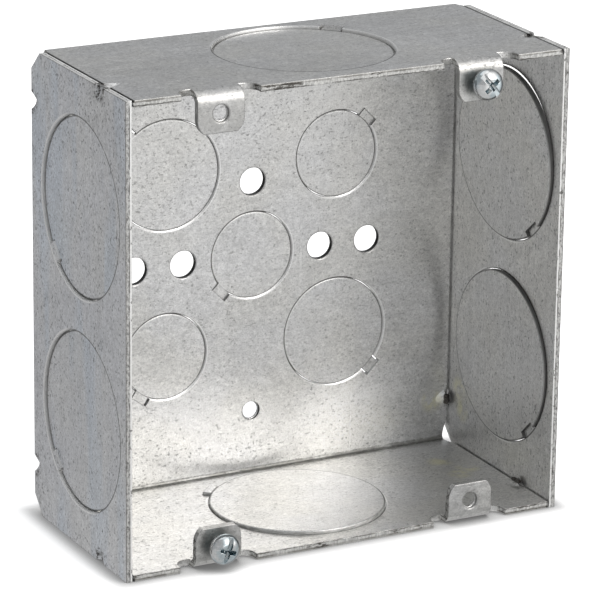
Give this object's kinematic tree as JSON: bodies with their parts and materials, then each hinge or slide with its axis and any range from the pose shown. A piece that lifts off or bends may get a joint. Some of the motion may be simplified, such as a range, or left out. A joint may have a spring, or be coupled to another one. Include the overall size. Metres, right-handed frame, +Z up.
{
  "type": "electrical junction box",
  "caption": "Square open-front steel junction box of three pinch-welded sheets, with hinged round knockouts, cover-screw ears and a pair of cover screws.",
  "frame": {"origin": "centre of the back plate's outer face", "axes": "+X right seen from the open front, +Z up, +Y out of the back; the open front faces -Y"},
  "size_m": [0.119, 0.0595, 0.119],
  "materials": {
    "galvanized_sheet": "galvanized rolled sheet, satin, faint rolling streaks",
    "galvanized_side_sheet": "galvanized rolled sheet, satin, speckled",
    "knockout_slug": "galvanized sheet with bright sheared rim",
    "zinc_plated_screw": "bright zinc plating, semi-gloss",
    "weld_nugget": "dark heat-stained weld metal"
  },
  "bodies": {
    "box": {"channel_body": "galvanized_sheet", "left_side_plate": "galvanized_side_sheet", "right_side_plate": "galvanized_side_sheet", "weld_left_top": "weld_nugget", "weld_left_bottom": "weld_nugget", "weld_left_rear": "weld_nugget", "weld_right_top": "weld_nugget", "weld_right_bottom": "weld_nugget", "weld_right_rear": "weld_nugget"},
    "knockout_back_center": {"knockout_back_center": "knockout_slug"},
    "knockout_back_upper_right": {"knockout_back_upper_right": "knockout_slug"},
    "knockout_back_lower_right": {"knockout_back_lower_right": "knockout_slug"},
    "knockout_back_lower_left": {"knockout_back_lower_left": "knockout_slug"},
    "knockout_back_upper_left": {"knockout_back_upper_left": "knockout_slug"},
    "knockout_top": {"knockout_top": "knockout_slug"},
    "knockout_bottom": {"knockout_bottom": "knockout_slug"},
    "knockout_left_upper": {"knockout_left_upper": "knockout_slug"},
    "knockout_left_lower": {"knockout_left_lower": "knockout_slug"},
    "knockout_right_upper": {"knockout_right_upper": "knockout_slug"},
    "knockout_right_lower": {"knockout_right_lower": "knockout_slug"},
    "cover_screw_upper_right": {"cover_screw_upper_right": "zinc_plated_screw"},
    "cover_screw_lower_left": {"cover_screw_lower_left": "zinc_plated_screw"}
  },
  "joints": [
    {"name": "back_center_tie_bend", "type": "hinge", "parent": "box", "child": "knockout_back_center", "pos_m": [-0.00944, 0, -0.00944], "axis": [-0.7071, 0, 0.7071], "range_deg": [0, 45]},
    {"name": "back_upper_right_tie_bend", "type": "hinge", "parent": "box", "child": "knockout_back_upper_right", "pos_m": [0.03314, 0, 0.03314], "axis": [0.7071, 0, -0.7071], "range_deg": [0, 45]},
    {"name": "back_lower_right_tie_bend", "type": "hinge", "parent": "box", "child": "knockout_back_lower_right", "pos_m": [0.03536, 0, -0.03516], "axis": [-0.7071, 0, -0.7071], "range_deg": [0, 45]},
    {"name": "back_lower_left_tie_bend", "type": "hinge", "parent": "box", "child": "knockout_back_lower_left", "pos_m": [-0.03176, 0, -0.03464], "axis": [-0.8192, 0, 0.5736], "range_deg": [0, 45]},
    {"name": "back_upper_left_tie_bend", "type": "hinge", "parent": "box", "child": "knockout_back_upper_left", "pos_m": [-0.03536, 0, 0.03526], "axis": [0.7071, 0, 0.7071], "range_deg": [0, 45]},
    {"name": "top_tie_bend", "type": "hinge", "parent": "box", "child": "knockout_top", "pos_m": [0.01775, -0.00975, 0.05723], "axis": [0.7071, -0.7071, 0], "range_deg": [0, 45]},
    {"name": "bottom_tie_bend", "type": "hinge", "parent": "box", "child": "knockout_bottom", "pos_m": [-0.01695, -0.01025, -0.05723], "axis": [-0.7071, -0.7071, 0], "range_deg": [0, 45]},
    {"name": "left_upper_tie_bend", "type": "hinge", "parent": "box", "child": "knockout_left_upper", "pos_m": [-0.05723, -0.01374, 0.01254], "axis": [0, 0.7071, 0.7071], "range_deg": [0, 45]},
    {"name": "left_lower_tie_bend", "type": "hinge", "parent": "box", "child": "knockout_left_lower", "pos_m": [-0.05723, -0.01394, -0.04116], "axis": [0, 0.7071, 0.7071], "range_deg": [0, 45]},
    {"name": "right_upper_tie_bend", "type": "hinge", "parent": "box", "child": "knockout_right_upper", "pos_m": [0.05723, -0.04174, 0.01123], "axis": [0, -0.766, 0.6428], "range_deg": [0, 45]},
    {"name": "right_lower_tie_bend", "type": "hinge", "parent": "box", "child": "knockout_right_lower", "pos_m": [0.05723, -0.04255, -0.04166], "axis": [0, -0.7314, 0.682], "range_deg": [0, 45]},
    {"name": "upper_right_screw_travel", "type": "slide", "parent": "box", "child": "cover_screw_upper_right", "axis": [0, 1, 0], "range_m": [-0.00635, 0.0023]},
    {"name": "lower_left_screw_travel", "type": "slide", "parent": "box", "child": "cover_screw_lower_left", "axis": [0, 1, 0], "range_m": [-0.00635, 0.0023]}
  ]
}
